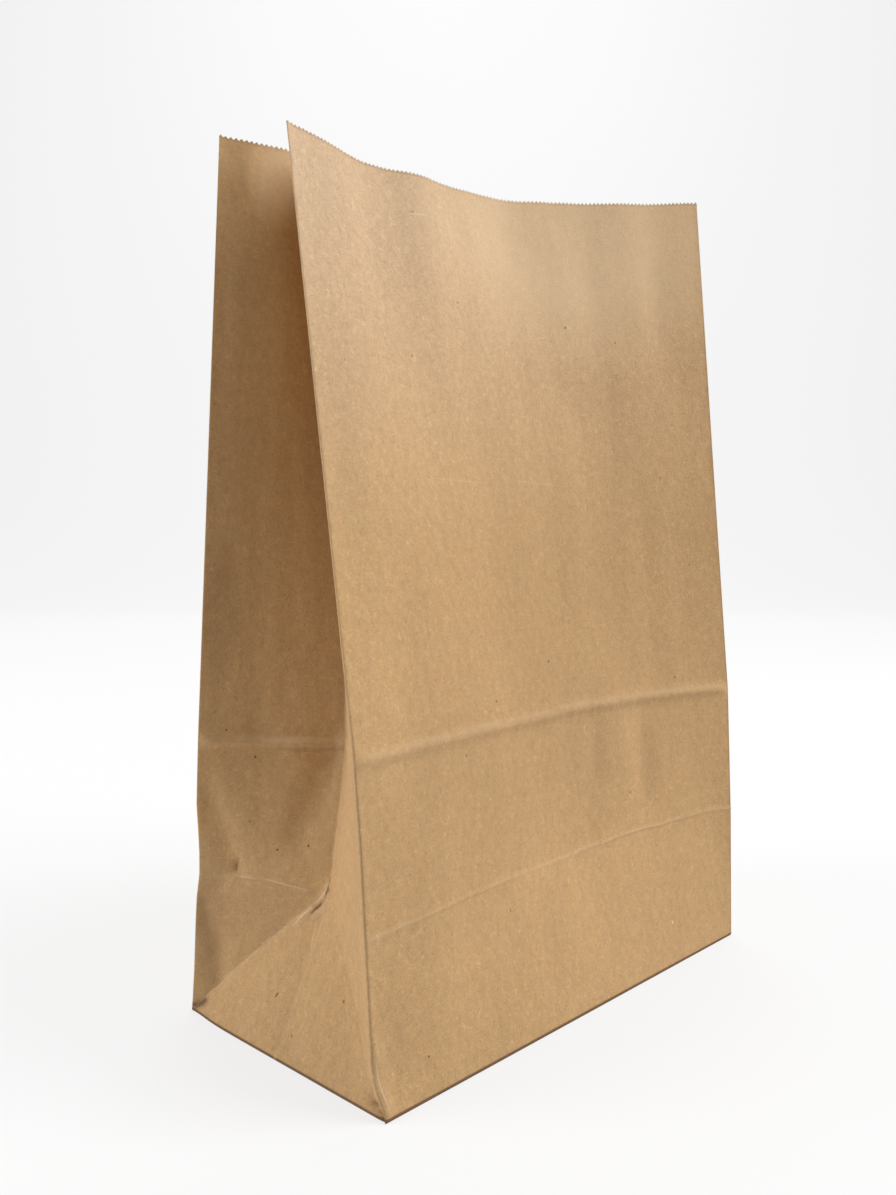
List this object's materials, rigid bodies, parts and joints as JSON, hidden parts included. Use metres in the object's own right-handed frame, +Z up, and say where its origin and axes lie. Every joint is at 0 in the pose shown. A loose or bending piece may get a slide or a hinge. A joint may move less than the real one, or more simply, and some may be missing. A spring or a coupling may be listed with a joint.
{
  "type": "paper lunch bag",
  "caption": "Brown kraft paper lunch bag standing open: flat folded base, sides tucked in along their middle, pressed cross creases and a saw-toothed mouth",
  "frame": {"origin": "on the surface that the bag stands on, under the middle of the whole bag's outline", "axes": "+X along the width of the front panel, +Y from the front panel to the back panel, +Z up to the mouth"},
  "size_m": [0.1914, 0.1026, 0.2803],
  "materials": {
    "kraft_paper": "matte unbleached kraft paper, fine fibres and flecks"
  },
  "bodies": {
    "root": {"paper_bag": "kraft_paper"}
  },
  "joints": []
}
